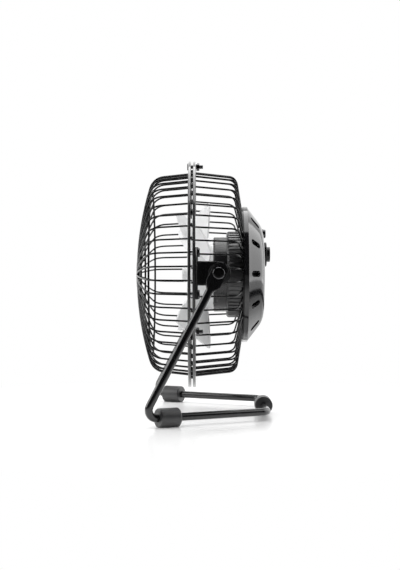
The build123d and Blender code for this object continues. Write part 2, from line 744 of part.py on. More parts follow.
# Rear cover: a bowl with a plain flange, a slotted cone and a flat face, and one screw column
cone_radius = cover_radius - cover_step
cone_slope = (cone_radius - cover_cone_end_radius) / (cover_face_reach - cover_flange_reach)
cone_tilt = math.atan(cone_slope)
cone_shift = cover_wall / math.cos(cone_tilt)
flange_inner = cover_radius - cover_wall
inner_flange_reach = cover_flange_reach + (cone_radius - cone_shift - flange_inner) / cone_slope
cover_inner_reach = cover_face_reach - cover_wall
inner_cone_end = cover_cone_end_radius - cone_shift + cover_wall * cone_slope
with BuildPart() as rear_cover:
    with BuildSketch(section_plane):
        with BuildLine():
            FilletPolyline(
                (cover_front_reach, cover_radius), (cover_flange_reach, cover_radius),
                (cover_flange_reach, cone_radius), (cover_face_reach, cover_cone_end_radius),
                (cover_face_reach, 0),
                radius=(cover_step / 3, cover_step / 3, cover_edge_radius),
            )
            Line((cover_face_reach, 0), (cover_inner_reach, 0))
            FilletPolyline(
                (cover_inner_reach, 0), (cover_inner_reach, inner_cone_end),
                (inner_flange_reach, flange_inner), (cover_front_reach, flange_inner),
                radius=(cover_edge_radius - cover_wall, cover_wall / 2),
            )
            Line((cover_front_reach, flange_inner), (cover_front_reach, cover_radius))
        make_face()
    revolve(axis=fan_axis)
    with BuildSketch(head_plane.offset(cover_front_reach)):
        with Locations((0, column_circle_radius)):
            Circle(column_radius)
    extrude(amount=column_reach - cover_front_reach)
    with BuildSketch(head_plane.offset(board_front_reach + board_thickness + seat_gap)):
        with Locations((-post_x, 0), (post_x, 0)):
            Circle(post_radius)
    extrude(amount=cover_inner_reach + cover_wall / 2 - board_front_reach - board_thickness - seat_gap)
    slot_radius = cone_radius - (slot_reach - cover_flange_reach) * cone_slope
    for index in range(slot_count):
        turn = math.radians(index * 360 / slot_count)
        radial = Vector(math.cos(turn), 0, math.sin(turn))
        outward = radial * math.cos(cone_tilt) + Vector(0, math.sin(cone_tilt), 0)
        middle = Vector(0, ring_y + slot_reach, axis_height) + radial * slot_radius
        down_slope = Vector(0, math.cos(cone_tilt), 0) - radial * math.sin(cone_tilt)
        with BuildSketch(Plane(origin=middle, x_dir=down_slope, z_dir=outward)):
            SlotOverall(slot_length, slot_width)
        extrude(amount=cover_wall * slot_cut_share, both=True, mode=Mode.SUBTRACT)
    with BuildSketch(head_plane.offset(cover_face_reach + overrun)):
        with Locations((0, switch_rise)):
            Circle(barrel_radius + running_gap)
        with Locations((0, -switch_rise)):
            RectangleRounded(
                inlet_width + 2 * running_gap, inlet_height + 2 * running_gap,
                inlet_corner_radius + running_gap,
            )
    extrude(amount=-(cover_wall + 2 * overrun), mode=Mode.SUBTRACT)
    with BuildSketch(head_plane.offset(cover_front_reach)):
        with Locations((0, column_circle_radius)):
            Circle(m3_radius + seat_gap)
    extrude(amount=column_reach, mode=Mode.SUBTRACT)
    with BuildSketch(head_plane.offset(board_front_reach + board_thickness)):
        with Locations((-post_x, 0), (post_x, 0)):
            Circle(board_screw_radius + seat_gap)
    extrude(amount=board_screw_depth + seat_gap, mode=Mode.SUBTRACT)
save(rear_cover.part, "rear_cover")
cover_screw_part = cross_screw(
    m3_radius, column_reach - plate_front_reach, cover_head_radius, cover_head_height,
    cover_head_height / 2, recess=cover_head_radius / pivot_head_radius,
)
with BuildPart() as cover_screw:
    with Locations(Plane(
        origin=section(column_reach, column_circle_radius), x_dir=(1, 0, 0), z_dir=(0, -1, 0)
    )):
        add(cover_screw_part)
save(cover_screw.part, "cover_screw")

# Motor can: a deep cup with the front bush in its end wall
with BuildPart() as motor_can:
    with BuildSketch(head_plane.offset(can_front_reach)):
        Circle(can_radius)
    extrude(amount=can_rear_reach - can_front_reach)
    fillet(motor_can.edges().sort_by(Axis.Y)[0], can_edge_radius)
    with BuildSketch(head_plane.offset(can_front_reach + can_front_thickness)):
        Circle(can_radius - can_wall)
        Circle(boss_radius, mode=Mode.SUBTRACT)
    extrude(amount=can_rear_reach, mode=Mode.SUBTRACT)
    with BuildSketch(head_plane.offset(can_front_reach + bush_length + can_front_thickness / 2)):
        Circle(boss_radius + overrun)
    extrude(amount=can_rear_reach, mode=Mode.SUBTRACT)
    with BuildSketch(head_plane.offset(can_front_reach + can_front_thickness / 2)):
        Circle(bush_radius + seat_gap)
    extrude(amount=can_rear_reach, mode=Mode.SUBTRACT)
    with BuildSketch(head_plane.offset(can_front_reach - overrun)):
        Circle(shaft_radius + 2 * running_gap)
    extrude(amount=can_rear_reach, mode=Mode.SUBTRACT)
save(motor_can.part, "motor_can")
save(
    disc_between(front_bush_reach, front_bush_reach + bush_length, bush_radius, shaft_radius + running_gap),
    "front_bush",
)

# End cap: closes the can and holds the rear bush
with BuildPart() as end_cap:
    with BuildSketch(head_plane.offset(end_cap_front)):
        Circle(can_radius)
    extrude(amount=end_cap_thickness)
    with BuildSketch(head_plane.offset(end_cap_front - end_cap_spigot)):
        Circle(can_radius - can_wall - seat_gap)
        Circle(can_radius - 3 * can_wall, mode=Mode.SUBTRACT)
    extrude(amount=end_cap_spigot)
    with BuildSketch(head_plane.offset(rear_bush_front)):
        Circle(boss_radius)
    extrude(amount=end_cap_front - rear_bush_front)
    with BuildSketch(head_plane.offset(rear_bush_front)):
        Circle(bush_radius + seat_gap)
        for angle in lead_angles:
            with PolarLocations(lead_circle_radius, 1, start_angle=angle):
                Circle(lead_radius + running_gap)
    extrude(amount=bush_length + overrun, mode=Mode.SUBTRACT)
save(end_cap.part, "end_cap")
save(disc_between(rear_bush_front, end_cap_rear, bush_radius, shaft_radius + running_gap), "rear_bush")

# Motor housing: a ribbed sleeve round the can, screwed to the rear plate
housing_rear_reach = plate_front_reach - seat_gap
housing_front_reach = housing_rear_reach - housing_length
housing_root_radius = housing_radius - housing_rib_depth
with BuildPart() as motor_housing:
    with BuildSketch(head_plane.offset(housing_front_reach)):
        Circle(housing_root_radius)
        with PolarLocations(housing_radius - housing_rib_depth, housing_rib_count):
            Rectangle(2 * housing_rib_depth, 2 * math.pi * housing_radius / housing_rib_count / 2)
        Circle(can_radius + seat_gap, mode=Mode.SUBTRACT)
    extrude(amount=housing_rear_reach - housing_front_reach)
    with BuildSketch(section_plane):
        with BuildLine():
            FilletPolyline(
                (housing_front_reach, 0), (housing_front_reach, housing_radius + running_gap),
                (housing_rear_reach, housing_radius + running_gap), radius=housing_edge_radius,
            )
            Polyline(
                (housing_rear_reach, housing_radius + running_gap), (housing_rear_reach, 0),
                (housing_front_reach, 0),
            )
        make_face()
    revolve(axis=fan_axis, mode=Mode.INTERSECT)
    with BuildSketch(head_plane.offset(housing_rear_reach + overrun)):
        with PolarLocations(motor_screw_circle_radius, motor_screw_count, start_angle=motor_screw_angle):
            Circle(motor_screw_radius + seat_gap)
    extrude(amount=-(motor_screw_depth + 2 * overrun), mode=Mode.SUBTRACT)
save(motor_housing.part, "motor_housing")
motor_screw = cross_screw(
    motor_screw_radius, motor_screw_depth, motor_screw_head_radius, motor_screw_head_height,
    motor_screw_head_height / 2, recess=motor_screw_head_radius / pivot_head_radius,
)
with BuildPart(head_plane.offset(plate_rear_reach)) as motor_screws:
    with PolarLocations(motor_screw_circle_radius, motor_screw_count, start_angle=motor_screw_angle):
        with Locations(Rotation(180, 0, 0)):
            add(motor_screw)
save(motor_screws.part, "motor_screws")

# Stator: a toothed core inside the can, with a coil round every tooth
stator_radius = can_radius - can_wall - seat_gap
stator_middle = stator_front_reach + stator_length / 2
tooth_outer = stator_radius - stator_yoke
with BuildPart() as stator_core:
    with BuildSketch(head_plane.offset(stator_front_reach)):
        Circle(stator_radius)
        Circle(tooth_outer, mode=Mode.SUBTRACT)
        with PolarLocations((pole_radius + tooth_outer) / 2 + seat_gap, tooth_count):
            Rectangle(tooth_outer - pole_radius, tooth_width)
        for index in range(tooth_count):
            pole_angle = index * 360 / tooth_count - pole_half_angle
            with BuildLine():
                outer_arc = CenterArc((0, 0), pole_radius + pole_thickness, pole_angle, 2 * pole_half_angle)
                inner_arc = CenterArc((0, 0), pole_radius, pole_angle, 2 * pole_half_angle)
                Line(outer_arc @ 0, inner_arc @ 0)
                Line(outer_arc @ 1, inner_arc @ 1)
            make_face()
        Circle(pole_radius, mode=Mode.SUBTRACT)
    extrude(amount=stator_length)
save(stator_core.part, "stator_core")
winding_outer_radius = tooth_outer - running_gap
with BuildPart() as windings:
    for index in range(tooth_count):
        turn = math.radians(index * 360 / tooth_count)
        radial = Vector(-math.cos(turn), 0, math.sin(turn))
        start = Vector(0, ring_y + stator_middle, axis_height) + radial * winding_inner_radius
        with BuildSketch(Plane(origin=start, x_dir=(0, 1, 0), z_dir=radial)):
            RectangleRounded(
                stator_length + 2 * winding_build, tooth_width + 2 * winding_build, winding_build
            )
            Rectangle(
                stator_length + 2 * running_gap, tooth_width + 2 * running_gap, mode=Mode.SUBTRACT
            )
        extrude(amount=winding_outer_radius - winding_inner_radius - winding_build)
save(windings.part, "windings")

# Leads from the windings through the end cap and plate to the circuit board
with BuildPart() as motor_leads:
    for angle in lead_angles:
        add(
            disc_between(
                stator_middle + stator_length / 2 + winding_build + running_gap, board_front_reach - seat_gap,
                lead_radius, circle=lead_circle_radius, first=angle,
            )
        )
save(motor_leads.part, "motor_leads")

# Rotor and shaft: they turn with the blade wheel
shaft_front_reach = hub_front_reach - shaft_thread
save(disc_between(shaft_front_reach, end_cap_rear - overrun, shaft_radius), "motor_shaft")
save(
    disc_between(
        stator_front_reach, stator_front_reach + stator_length, rotor_core_radius, shaft_radius + seat_gap
    ),
    "rotor_core",
)
save(
    disc_between(
        stator_front_reach, stator_front_reach + stator_length, rotor_radius, rotor_core_radius + seat_gap
    ),
    "rotor_magnet",
)

# One blade: a twisted, cambered sheet, trimmed to a petal with a rounded tip
radial_direction = head_plane.x_dir
with BuildPart() as blade:
    for place_share, width_share, depth_share, setback_share in blade_section_shares:
        radius = blade_root_radius + (blade_tip_radius - blade_root_radius) * place_share
        chord = Vector(blade_width * width_share, blade_depth * depth_share)
        rise = Vector(-chord.Y, chord.X).normalized()
        middle = Vector(0, hub_front_reach + blade_depth * setback_share)
        bow = rise * (2 * chord.length * blade_camber_share)
        skin = rise * (blade_thickness / 2)
        with BuildSketch(Plane(
            origin=head_plane.origin + radial_direction * radius, x_dir=(0, 0, 1), z_dir=radial_direction
        )):
            with BuildLine():
                ThreePointArc(middle - chord + skin, middle + bow + skin, middle + chord + skin)
                Line(middle + chord + skin, middle + chord - skin)
                ThreePointArc(middle + chord - skin, middle + bow - skin, middle - chord - skin)
                Line(middle - chord - skin, middle - chord + skin)
            make_face()
    loft()
    tip_turn = math.radians(blade_tip_half_angle)
    tip_x = blade_tip_radius * math.cos(tip_turn)
    tip_y = blade_tip_radius * math.sin(tip_turn)
    with BuildSketch(head_plane.offset(-blade_tip_radius)):
        with BuildLine():
            ThreePointArc(
                (blade_root_radius, -blade_root_half_width), (blade_bulge_radius, -blade_bulge_half_width),
                (tip_x, -tip_y),
            )
            ThreePointArc((tip_x, -tip_y), (blade_tip_radius, 0), (tip_x, tip_y))
            ThreePointArc(
                (tip_x, tip_y), (blade_bulge_radius, blade_bulge_half_width),
                (blade_root_radius, blade_root_half_width),
            )
            Line((blade_root_radius, blade_root_half_width), (blade_root_radius, -blade_root_half_width))
        petal = make_face()
        fillet(petal.vertices().sort_by(Axis.X)[-2:], blade_tip_corner_radius)
    extrude(amount=2 * blade_tip_radius, mode=Mode.INTERSECT)

# Blade wheel: a cup-shaped hub with a bored boss, and the blades round it
with BuildPart(head_plane) as blade_wheel:
    with BuildSketch(head_plane.offset(hub_front_reach)):
        Circle(hub_radius)
    extrude(amount=hub_rear_reach - hub_front_reach)
    fillet(blade_wheel.edges().sort_by(Axis.Y)[0], hub_edge_radius)
    with BuildSketch(section_plane):
        with BuildLine():
            FilletPolyline(
                (hub_front_reach + hub_wall, hub_boss_radius),
                (hub_front_reach + hub_wall, hub_radius - hub_wall),
                (hub_rear_reach, hub_radius - hub_wall), radius=hub_edge_radius - hub_wall,
            )
            Polyline(
                (hub_rear_reach, hub_radius - hub_wall), (hub_rear_reach, 0),
                (hub_front_reach + hub_boss_length, 0), (hub_front_reach + hub_boss_length, hub_boss_radius),
                (hub_front_reach + hub_wall, hub_boss_radius),
            )
        make_face()
    revolve(axis=fan_axis, mode=Mode.SUBTRACT)
    with PolarLocations(0, blade_count, start_angle=blade_phase):
        add(head_plane.to_local_coords(blade.part))
    with BuildSketch(head_plane.offset(hub_front_reach)):
        Circle(shaft_radius + seat_gap)
    extrude(amount=hub_boss_length, mode=Mode.SUBTRACT)
save(blade_wheel.part, "blade_wheel")
with BuildPart() as blade_nut:
    with BuildSketch(head_plane.offset(hub_front_reach)):
        Circle(blade_nut_radius)
    extrude(amount=-blade_nut_height)
    fillet(blade_nut.edges().sort_by(Axis.Y)[0], blade_nut_edge_radius)
    with BuildSketch(head_plane.offset(hub_front_reach)):
        Circle(shaft_radius + seat_gap)
    extrude(amount=-(shaft_thread + seat_gap), mode=Mode.SUBTRACT)
save(blade_nut.part, "blade_nut")

# Circuit board: on two posts inside the cover, under the switch and the power inlet
board_rear_reach = board_front_reach + board_thickness
board_seat_reach = board_rear_reach + seat_gap
with BuildPart() as circuit_board:
    with BuildSketch(head_plane.offset(board_front_reach)):
        with Locations((0, -board_drop)):
            Rectangle(board_width, board_height)
        with Locations((-post_x, 0), (post_x, 0)):
            Circle(board_screw_radius + seat_gap, mode=Mode.SUBTRACT)
    extrude(amount=board_thickness)
    with BuildSketch(head_plane.offset(board_rear_reach)):
        Rectangle(chip_size, chip_size)
    extrude(amount=chip_height)
    with BuildSketch(head_plane.offset(board_rear_reach)):
        with Locations((post_x, -switch_rise), (-post_x, -switch_rise)):
            Circle(capacitor_radius)
    extrude(amount=capacitor_height)
save(circuit_board.part, "circuit_board")
board_screw = cross_screw(
    board_screw_radius, board_thickness + board_screw_depth, board_screw_head_radius, board_screw_head_height,
    board_screw_head_height / 2, recess=board_screw_head_radius / pivot_head_radius,
)
with BuildPart(head_plane.offset(board_front_reach)) as board_screws:
    with Locations((-post_x, 0), (post_x, 0)):
        add(board_screw)
save(board_screws.part, "board_screws")

# Power inlet: a small metal-lined socket, almost flush with the back of the cover
inlet_rear_reach = cover_face_reach - inlet_sunk
with BuildPart() as power_inlet:
    with BuildSketch(head_plane.offset(board_seat_reach)):
        with Locations((0, -switch_rise)):
            RectangleRounded(inlet_width, inlet_height, inlet_corner_radius)
    extrude(amount=inlet_rear_reach - board_seat_reach)
    with BuildSketch(head_plane.offset(inlet_rear_reach)):
        with Locations((0, -switch_rise)):
            RectangleRounded(
                inlet_width - 2 * inlet_wall, inlet_height - 2 * inlet_wall, inlet_corner_radius - inlet_wall
            )
            Rectangle(inlet_tongue_width, inlet_tongue_thickness, mode=Mode.SUBTRACT)
    extrude(amount=-inlet_depth, mode=Mode.SUBTRACT)
save(power_inlet.part, "power_inlet")

# Switch: a flanged barrel through the cover, clamped between a bright washer and an inner nut
bezel_front_reach = cover_face_reach + switch_washer_thickness
bezel_rear_reach = bezel_front_reach + bezel_thickness
barrel_floor_reach = board_seat_reach + barrel_floor
with BuildPart() as switch_housing:
    with BuildSketch(head_plane.offset(bezel_front_reach)):
        with Locations((0, switch_rise)):
            Circle(bezel_radius)
    extrude(amount=bezel_thickness)
    fillet(switch_housing.edges(), bezel_edge_radius)
    with BuildSketch(head_plane.offset(board_seat_reach)):
        with Locations((0, switch_rise)):
            Circle(barrel_radius)
    extrude(amount=bezel_front_reach + bezel_thickness / 2 - board_seat_reach)
    with BuildSketch(head_plane.offset(barrel_floor_reach)):
        with Locations((0, switch_rise)):
            Circle(barrel_bore_radius)
    extrude(amount=bezel_rear_reach - barrel_floor_reach + overrun, mode=Mode.SUBTRACT)
save(switch_housing.part, "switch_housing")
with BuildPart() as switch_washer:
    with BuildSketch(head_plane.offset(cover_face_reach)):
        with Locations((0, switch_rise)):
            Circle(switch_washer_radius)
            Circle(barrel_radius + seat_gap, mode=Mode.SUBTRACT)
    extrude(amount=switch_washer_thickness)
save(switch_washer.part, "switch_washer")
with BuildPart(head_plane.offset(cover_inner_reach - switch_nut_height)) as switch_nut:
    with Locations((0, switch_rise)):
        add(hex_nut(switch_nut_across, switch_nut_height, barrel_radius + seat_gap))
save(switch_nut.part, "switch_nut")

# Push button: a hollow cap in the barrel, with its return spring under the crown
button_rear_reach = bezel_rear_reach + button_proud
button_front_reach = bezel_rear_reach - button_skirt
cavity_reach = button_rear_reach - button_crown
with BuildPart() as button_cap:
    with BuildSketch(head_plane.offset(button_front_reach)):
        with Locations((0, switch_rise)):
            Circle(button_radius)
    extrude(amount=button_rear_reach - button_front_reach)
    fillet(button_cap.edges().sort_by(Axis.Y)[-1], button_edge_radius)
    with BuildSketch(head_plane.offset(button_front_reach)):
        with Locations((0, switch_rise)):
            Circle(button_cavity_radius)
    extrude(amount=cavity_reach - button_front_reach, mode=Mode.SUBTRACT)
save(button_cap.part, "button_cap")
with BuildPart() as button_spring:
    with BuildSketch(head_plane.offset(barrel_floor_reach + seat_gap)):
        with Locations((0, switch_rise)):
            Circle(spring_radius)
            Circle(spring_radius - spring_wall, mode=Mode.SUBTRACT)
    extrude(amount=cavity_reach - barrel_floor_reach - 2 * seat_gap)
save(button_spring.part, "button_spring")

pressed_room = button_front_reach - button_travel - barrel_floor_reach
tilt_room = axis_height - 2 * foot_radius - math.hypot(ring_radius, pivot_reach - ring_front_reach)
print(f"ring plane y {ring_y:.3f}, pivot y {pivot_y:.3f}, room under the pressed button {pressed_room:.2f}")
print(f"least room between the turning rings and the top of the feet {tilt_room:.2f}")
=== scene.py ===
import math

import bmesh
import bpy
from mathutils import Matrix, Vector


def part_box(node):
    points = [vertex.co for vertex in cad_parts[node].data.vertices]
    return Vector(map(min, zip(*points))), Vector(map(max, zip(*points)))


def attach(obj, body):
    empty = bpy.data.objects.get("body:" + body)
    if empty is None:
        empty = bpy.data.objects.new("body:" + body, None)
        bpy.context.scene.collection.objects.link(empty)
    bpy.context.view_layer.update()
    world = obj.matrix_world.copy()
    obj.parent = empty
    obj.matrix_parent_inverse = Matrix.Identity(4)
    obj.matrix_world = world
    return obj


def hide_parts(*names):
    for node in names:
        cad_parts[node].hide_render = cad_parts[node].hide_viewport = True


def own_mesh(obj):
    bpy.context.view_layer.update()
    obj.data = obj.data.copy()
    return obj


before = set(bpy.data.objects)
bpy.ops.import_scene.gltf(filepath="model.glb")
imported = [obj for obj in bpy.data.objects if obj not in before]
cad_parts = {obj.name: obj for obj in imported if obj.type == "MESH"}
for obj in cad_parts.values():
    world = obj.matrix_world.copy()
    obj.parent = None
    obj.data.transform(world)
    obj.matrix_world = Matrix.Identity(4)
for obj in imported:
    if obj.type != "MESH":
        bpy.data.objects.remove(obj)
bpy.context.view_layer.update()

# The stand: one round steel rod, bent into two legs, two floor rails and a cross-bar.
# It is dipped in a dark glossy lacquer that runs over the flattened, drilled ends.
mm = 0.001
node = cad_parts
coat_roughness = 0.06
cloud_detail, grain_detail = 4.0, 3.0
cloud_range = (0.3, 0.7)
relief_strength = 0.6
smooth_angle = 32
same_point = 0.001 * mm


def remapped(tree, source, before, after=(0.0, 1.0), eased=False):
    """A value stretched from one range to another, in a straight line or with eased ends."""
    stretch = tree.nodes.new("ShaderNodeMapRange")
    if eased:
        stretch.interpolation_type = "SMOOTHSTEP"
    for label, value in zip(("From Min", "From Max", "To Min", "To Max"), (*before, *after)):
        stretch.inputs[label].default_value = value
    tree.links.new(source, stretch.inputs["Value"])
    return stretch.outputs["Result"]


def finish(
    name, tone, other_tone, blotch, rough, fine, depth,
    metal=0.0, coat=0.0, patchy=0.5, shine=0.5, edge=0.0,
):
    """A surface with two close tones in soft patches, uneven gloss, a fine relief and softened edges.

    There are about blotch patches and fine grains to a metre. The grains are depth high, rough is the least
    and the most roughness, patchy says how broken the patches are, and edge is the edges' radius.
    """
    made = bpy.data.materials.new(name)
    made.use_nodes = True
    tree = made.node_tree
    add, join = tree.nodes.new, tree.links.new
    shader = tree.nodes["Principled BSDF"]
    shader.inputs["Metallic"].default_value = metal
    shader.inputs["Specular IOR Level"].default_value = shine
    shader.inputs["Coat Weight"].default_value = coat
    shader.inputs["Coat Roughness"].default_value = coat_roughness
    place = add("ShaderNodeTexCoord")
    place.name = "place"
    cloud = add("ShaderNodeTexNoise")
    cloud.inputs["Scale"].default_value = blotch
    cloud.inputs["Detail"].default_value = cloud_detail
    cloud.inputs["Roughness"].default_value = patchy
    grain = add("ShaderNodeTexNoise")
    grain.inputs["Scale"].default_value = fine
    grain.inputs["Detail"].default_value = grain_detail
    tones = add("ShaderNodeMix")
    tones.name = "tones"
    tones.data_type = "RGBA"
    tones.inputs["A"].default_value = (*tone, 1)
    tones.inputs["B"].default_value = (*other_tone, 1)
    relief = add("ShaderNodeBump")
    relief.name = "relief"
    relief.inputs["Strength"].default_value = relief_strength
    relief.inputs["Distance"].default_value = depth
    join(place.outputs["Object"], cloud.inputs["Vector"])
    join(place.outputs["Object"], grain.inputs["Vector"])
    join(cloud.outputs["Fac"], tones.inputs["Factor"])
    join(tones.outputs["Result"], shader.inputs["Base Color"])
    join(remapped(tree, cloud.outputs["Fac"], cloud_range, rough), shader.inputs["Roughness"])
    join(grain.outputs["Fac"], relief.inputs["Height"])
    join(relief.outputs["Normal"], shader.inputs["Normal"])
    if edge:
        softened = add("ShaderNodeBevel")
        softened.inputs["Radius"].default_value = edge
        join(softened.outputs["Normal"], relief.inputs["Normal"])
    return made


def dress(name, material, angle=smooth_angle):
    """A CAD node keeps its mesh, shades smoothly across its soft edges and takes its finish."""
    piece = node[name]
    piece.data.materials.clear()
    piece.data.materials.append(material)
    piece.data.shade_smooth()
    weld = piece.modifiers.new("merged", "WELD")
    weld.merge_threshold = same_point
    edges = piece.modifiers.new("sharp edges", "EDGE_SPLIT")
    edges.split_angle = math.radians(angle)


rod_lacquer = finish(
    "rod_lacquer", (0.002, 0.002, 0.0024), (0.005, 0.005, 0.0055),
    blotch=90, rough=(0.1, 0.16), fine=1400, depth=0.01 * mm, coat=0.6, edge=1.2 * mm,
)
dress("stand_rod", rod_lacquer)

# The feet: three soft rubber sleeves pushed over the rod, moulded with a low sheen and a fine grain.
# Each has rounded rims and a small flat where it stands.
foot_rubber = finish(
    "foot_rubber", (0.014, 0.014, 0.015), (0.024, 0.024, 0.025),
    blotch=160, rough=(0.34, 0.46), fine=3800, depth=0.05 * mm, shine=0.9,
)
for name in ("front_foot_right", "front_foot_left", "rear_foot"):
    dress(name, foot_rubber)

# The cage rings: two flat steel rings with rolled edges, screwed together with the wire ends between them.
# They carry a smooth black powder coat, a little uneven like all sprayed steel.
rolled_angle = 40
ring_coat = finish(
    "ring_coat", (0.012, 0.012, 0.013), (0.024, 0.024, 0.025),
    blotch=60, rough=(0.12, 0.2), fine=1100, depth=0.02 * mm, coat=1.0, edge=0.6 * mm,
)
for name in ("front_ring", "rear_ring"):
    dress(name, ring_coat, rolled_angle)

# The front wires: forty-eight round steel wires, 1.4 mm thick with their coat, each bent once at the ring
# and once at the shoulder, then curved in over the dome and welded to the hoops and the disc.
# Their sizes are in millimetres, with reach along the fan's axis from the plane between the rings.
front_ring_box, rear_ring_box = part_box("front_ring"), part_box("rear_ring")
ring_y = (front_ring_box[1].y + rear_ring_box[0].y) / 2
axis_z = (front_ring_box[0].z + front_ring_box[1].z) / 2
axis_point = (0.0, ring_y, axis_z)
wire_count = 48
wire_radius = 0.7
wire_sides = 10
bend_steps = 7
half_step = math.pi / wire_count
tab_offset, tab_end, tab_bend = 0.05, 85.5, 1.3
front_tab_foot = 82.5
front_shoulder, front_shoulder_bend = (-31.64, 79.07), 12.35
dome_start = (-34.02, 71.27)
dome_stops = (64.0, 57.0, 50.0, 43.0, 36.0, 29.0, 22.0, 12.4)
dome_centre_reach, dome_radius = 199.7, 244.35
cage_coat = finish(
    "cage_coat", (0.002, 0.002, 0.0022), (0.004, 0.004, 0.0045),
    blotch=60, rough=(0.09, 0.15), fine=1100, depth=0.01 * mm, shine=0.2,
)


def start_tree(name, seed, sizes, result):
    """A new tree that takes one mesh and named sizes, and hands out one mesh."""
    tree = bpy.data.node_groups.new(name, "GeometryNodeTree")
    for label, kind in ((seed, "Geometry"), *sizes):
        tree.interface.new_socket(label, in_out="INPUT", socket_type="NodeSocket" + kind)
    tree.interface.new_socket(result, in_out="OUTPUT", socket_type="NodeSocketGeometry")
    return tree


def end_tree(tree, copies, material):
    """Makes the copies real, gives them their material and hands them out."""
    real = tree.nodes.new("GeometryNodeRealizeInstances")
    coat = tree.nodes.new("GeometryNodeSetMaterial")
    out = tree.nodes.new("NodeGroupOutput")
    tree.links.new(copies, real.inputs["Geometry"])
    tree.links.new(real.outputs["Geometry"], coat.inputs["Geometry"])
    tree.links.new(material, coat.inputs["Material"])
    tree.links.new(coat.outputs["Geometry"], out.inputs[0])


def copied_round(tree, shape, count, turn, centre):
    """Copies of a shape about the fan's axis, the first one turned a little and the rest in equal steps."""
    add, join = tree.nodes.new, tree.links.new
    centres = add("GeometryNodePoints")
    index = add("GeometryNodeInputIndex")
    step = add("ShaderNodeMath")
    step.operation = "DIVIDE"
    step.inputs[0].default_value = 2 * math.pi
    angle = add("ShaderNodeMath")
    angle.operation = "MULTIPLY_ADD"
    turned = add("ShaderNodeCombineXYZ")
    copies = add("GeometryNodeInstanceOnPoints")
    join(count, centres.inputs["Count"])
    join(centre, centres.inputs["Position"])
    join(count, step.inputs[1])
    join(index.outputs["Index"], angle.inputs[0])
    join(step.outputs[0], angle.inputs[1])
    join(turn, angle.inputs[2])
    join(angle.outputs[0], turned.inputs["Y"])
    join(centres.outputs["Points"], copies.inputs["Points"])
    join(shape, copies.inputs["Instance"])
    join(turned.outputs["Vector"], copies.inputs["Rotation"])
    return copies.outputs["Instances"]


def bent_wire_tree():
    """A tree that rounds the corners of a path, makes a wire of it and repeats it about the fan's axis."""
    sizes = (
        ("Wires", "Int"), ("Turn", "Float"), ("Wire radius", "Float"), ("Axis point", "Vector"),
        ("Coat", "Material"),
    )
    tree = start_tree("wires_round_the_axis", "Path", sizes, "Cage")
    add, join = tree.nodes.new, tree.links.new
    given = add("NodeGroupInput").outputs
    line = add("GeometryNodeMeshToCurve")
    bend = add("GeometryNodeInputNamedAttribute")
    bend.data_type = "FLOAT"
    bend.inputs["Name"].default_value = "bend"
    rounded = add("GeometryNodeFilletCurve")
    rounded.mode = "POLY"
    rounded.inputs["Limit Radius"].default_value = True
    rounded.inputs["Count"].default_value = bend_steps
    section = add("GeometryNodeCurvePrimitiveCircle")
    section.inputs["Resolution"].default_value = wire_sides
    tube = add("GeometryNodeCurveToMesh")
    tube.inputs["Fill Caps"].default_value = True
    smooth = add("GeometryNodeSetShadeSmooth")
    join(given["Path"], line.inputs["Mesh"])
    join(line.outputs["Curve"], rounded.inputs["Curve"])
    join(bend.outputs["Attribute"], rounded.inputs["Radius"])
    join(given["Wire radius"], section.inputs["Radius"])
    join(rounded.outputs["Curve"], tube.inputs["Curve"])
    join(section.outputs["Curve"], tube.inputs["Profile Curve"])
    join(tube.outputs["Mesh"], smooth.inputs["Geometry"])
    wires = copied_round(tree, smooth.outputs["Geometry"], given["Wires"], given["Turn"], given["Axis point"])
    end_tree(tree, wires, given["Coat"])
    return tree


def grown(name, seed, tree, values):
    """Runs a tree on a small seed mesh, and gives its result back as a plain mesh piece."""
    start = bpy.data.objects.new(name + "_seed", seed)
    bpy.context.scene.collection.objects.link(start)
    step = start.modifiers.new("grow", "NODES")
    step.node_group = tree
    for socket in tree.interface.items_tree:
        if socket.in_out == "INPUT" and socket.name in values:
            step[socket.identifier] = values[socket.name]
    bpy.context.view_layer.update()
    ready = start.evaluated_get(bpy.context.evaluated_depsgraph_get())
    mesh = bpy.data.meshes.new_from_object(ready)
    mesh.name = name
    piece = bpy.data.objects.new(name, mesh)
    bpy.context.scene.collection.objects.link(piece)
    bpy.data.objects.remove(start)
    return piece


def path_seed(name, points):
    """Corner points in the head's half section, each (reach, radius, bend radius)."""
    mesh = bpy.data.meshes.new(name)
    mesh.from_pydata(
        [(0, reach * mm, radius * mm) for reach, radius, _ in points],
        [(i, i + 1) for i in range(len(points) - 1)], [],
    )
    bend = mesh.attributes.new("bend", "FLOAT", "POINT")
    for place, (_, _, radius) in zip(bend.data, points):
        place.value = radius * mm
    return mesh


def dome_reach(radius, inside=0.0):
    """Where the dome of wire centre lines lies at a radius, or a depth inside it."""
    return dome_centre_reach - math.sqrt((dome_radius - inside) ** 2 - radius ** 2)


front_path = [
    (-tab_offset, tab_end, 0), (-tab_offset, front_tab_foot, tab_bend),
    (*front_shoulder, front_shoulder_bend), (*dome_start, 0),
]
front_path += [(dome_reach(radius), radius, 0) for radius in dome_stops]
wire_tree = bent_wire_tree()
front_wires = grown(
    "front_cage_wires", path_seed("front_path", front_path), wire_tree,
    {
        "Wires": wire_count, "Turn": half_step, "Wire radius": wire_radius * mm,
        "Axis point": axis_point, "Coat": cage_coat,
    },
)
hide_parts("front_wires")
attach(front_wires, "head")

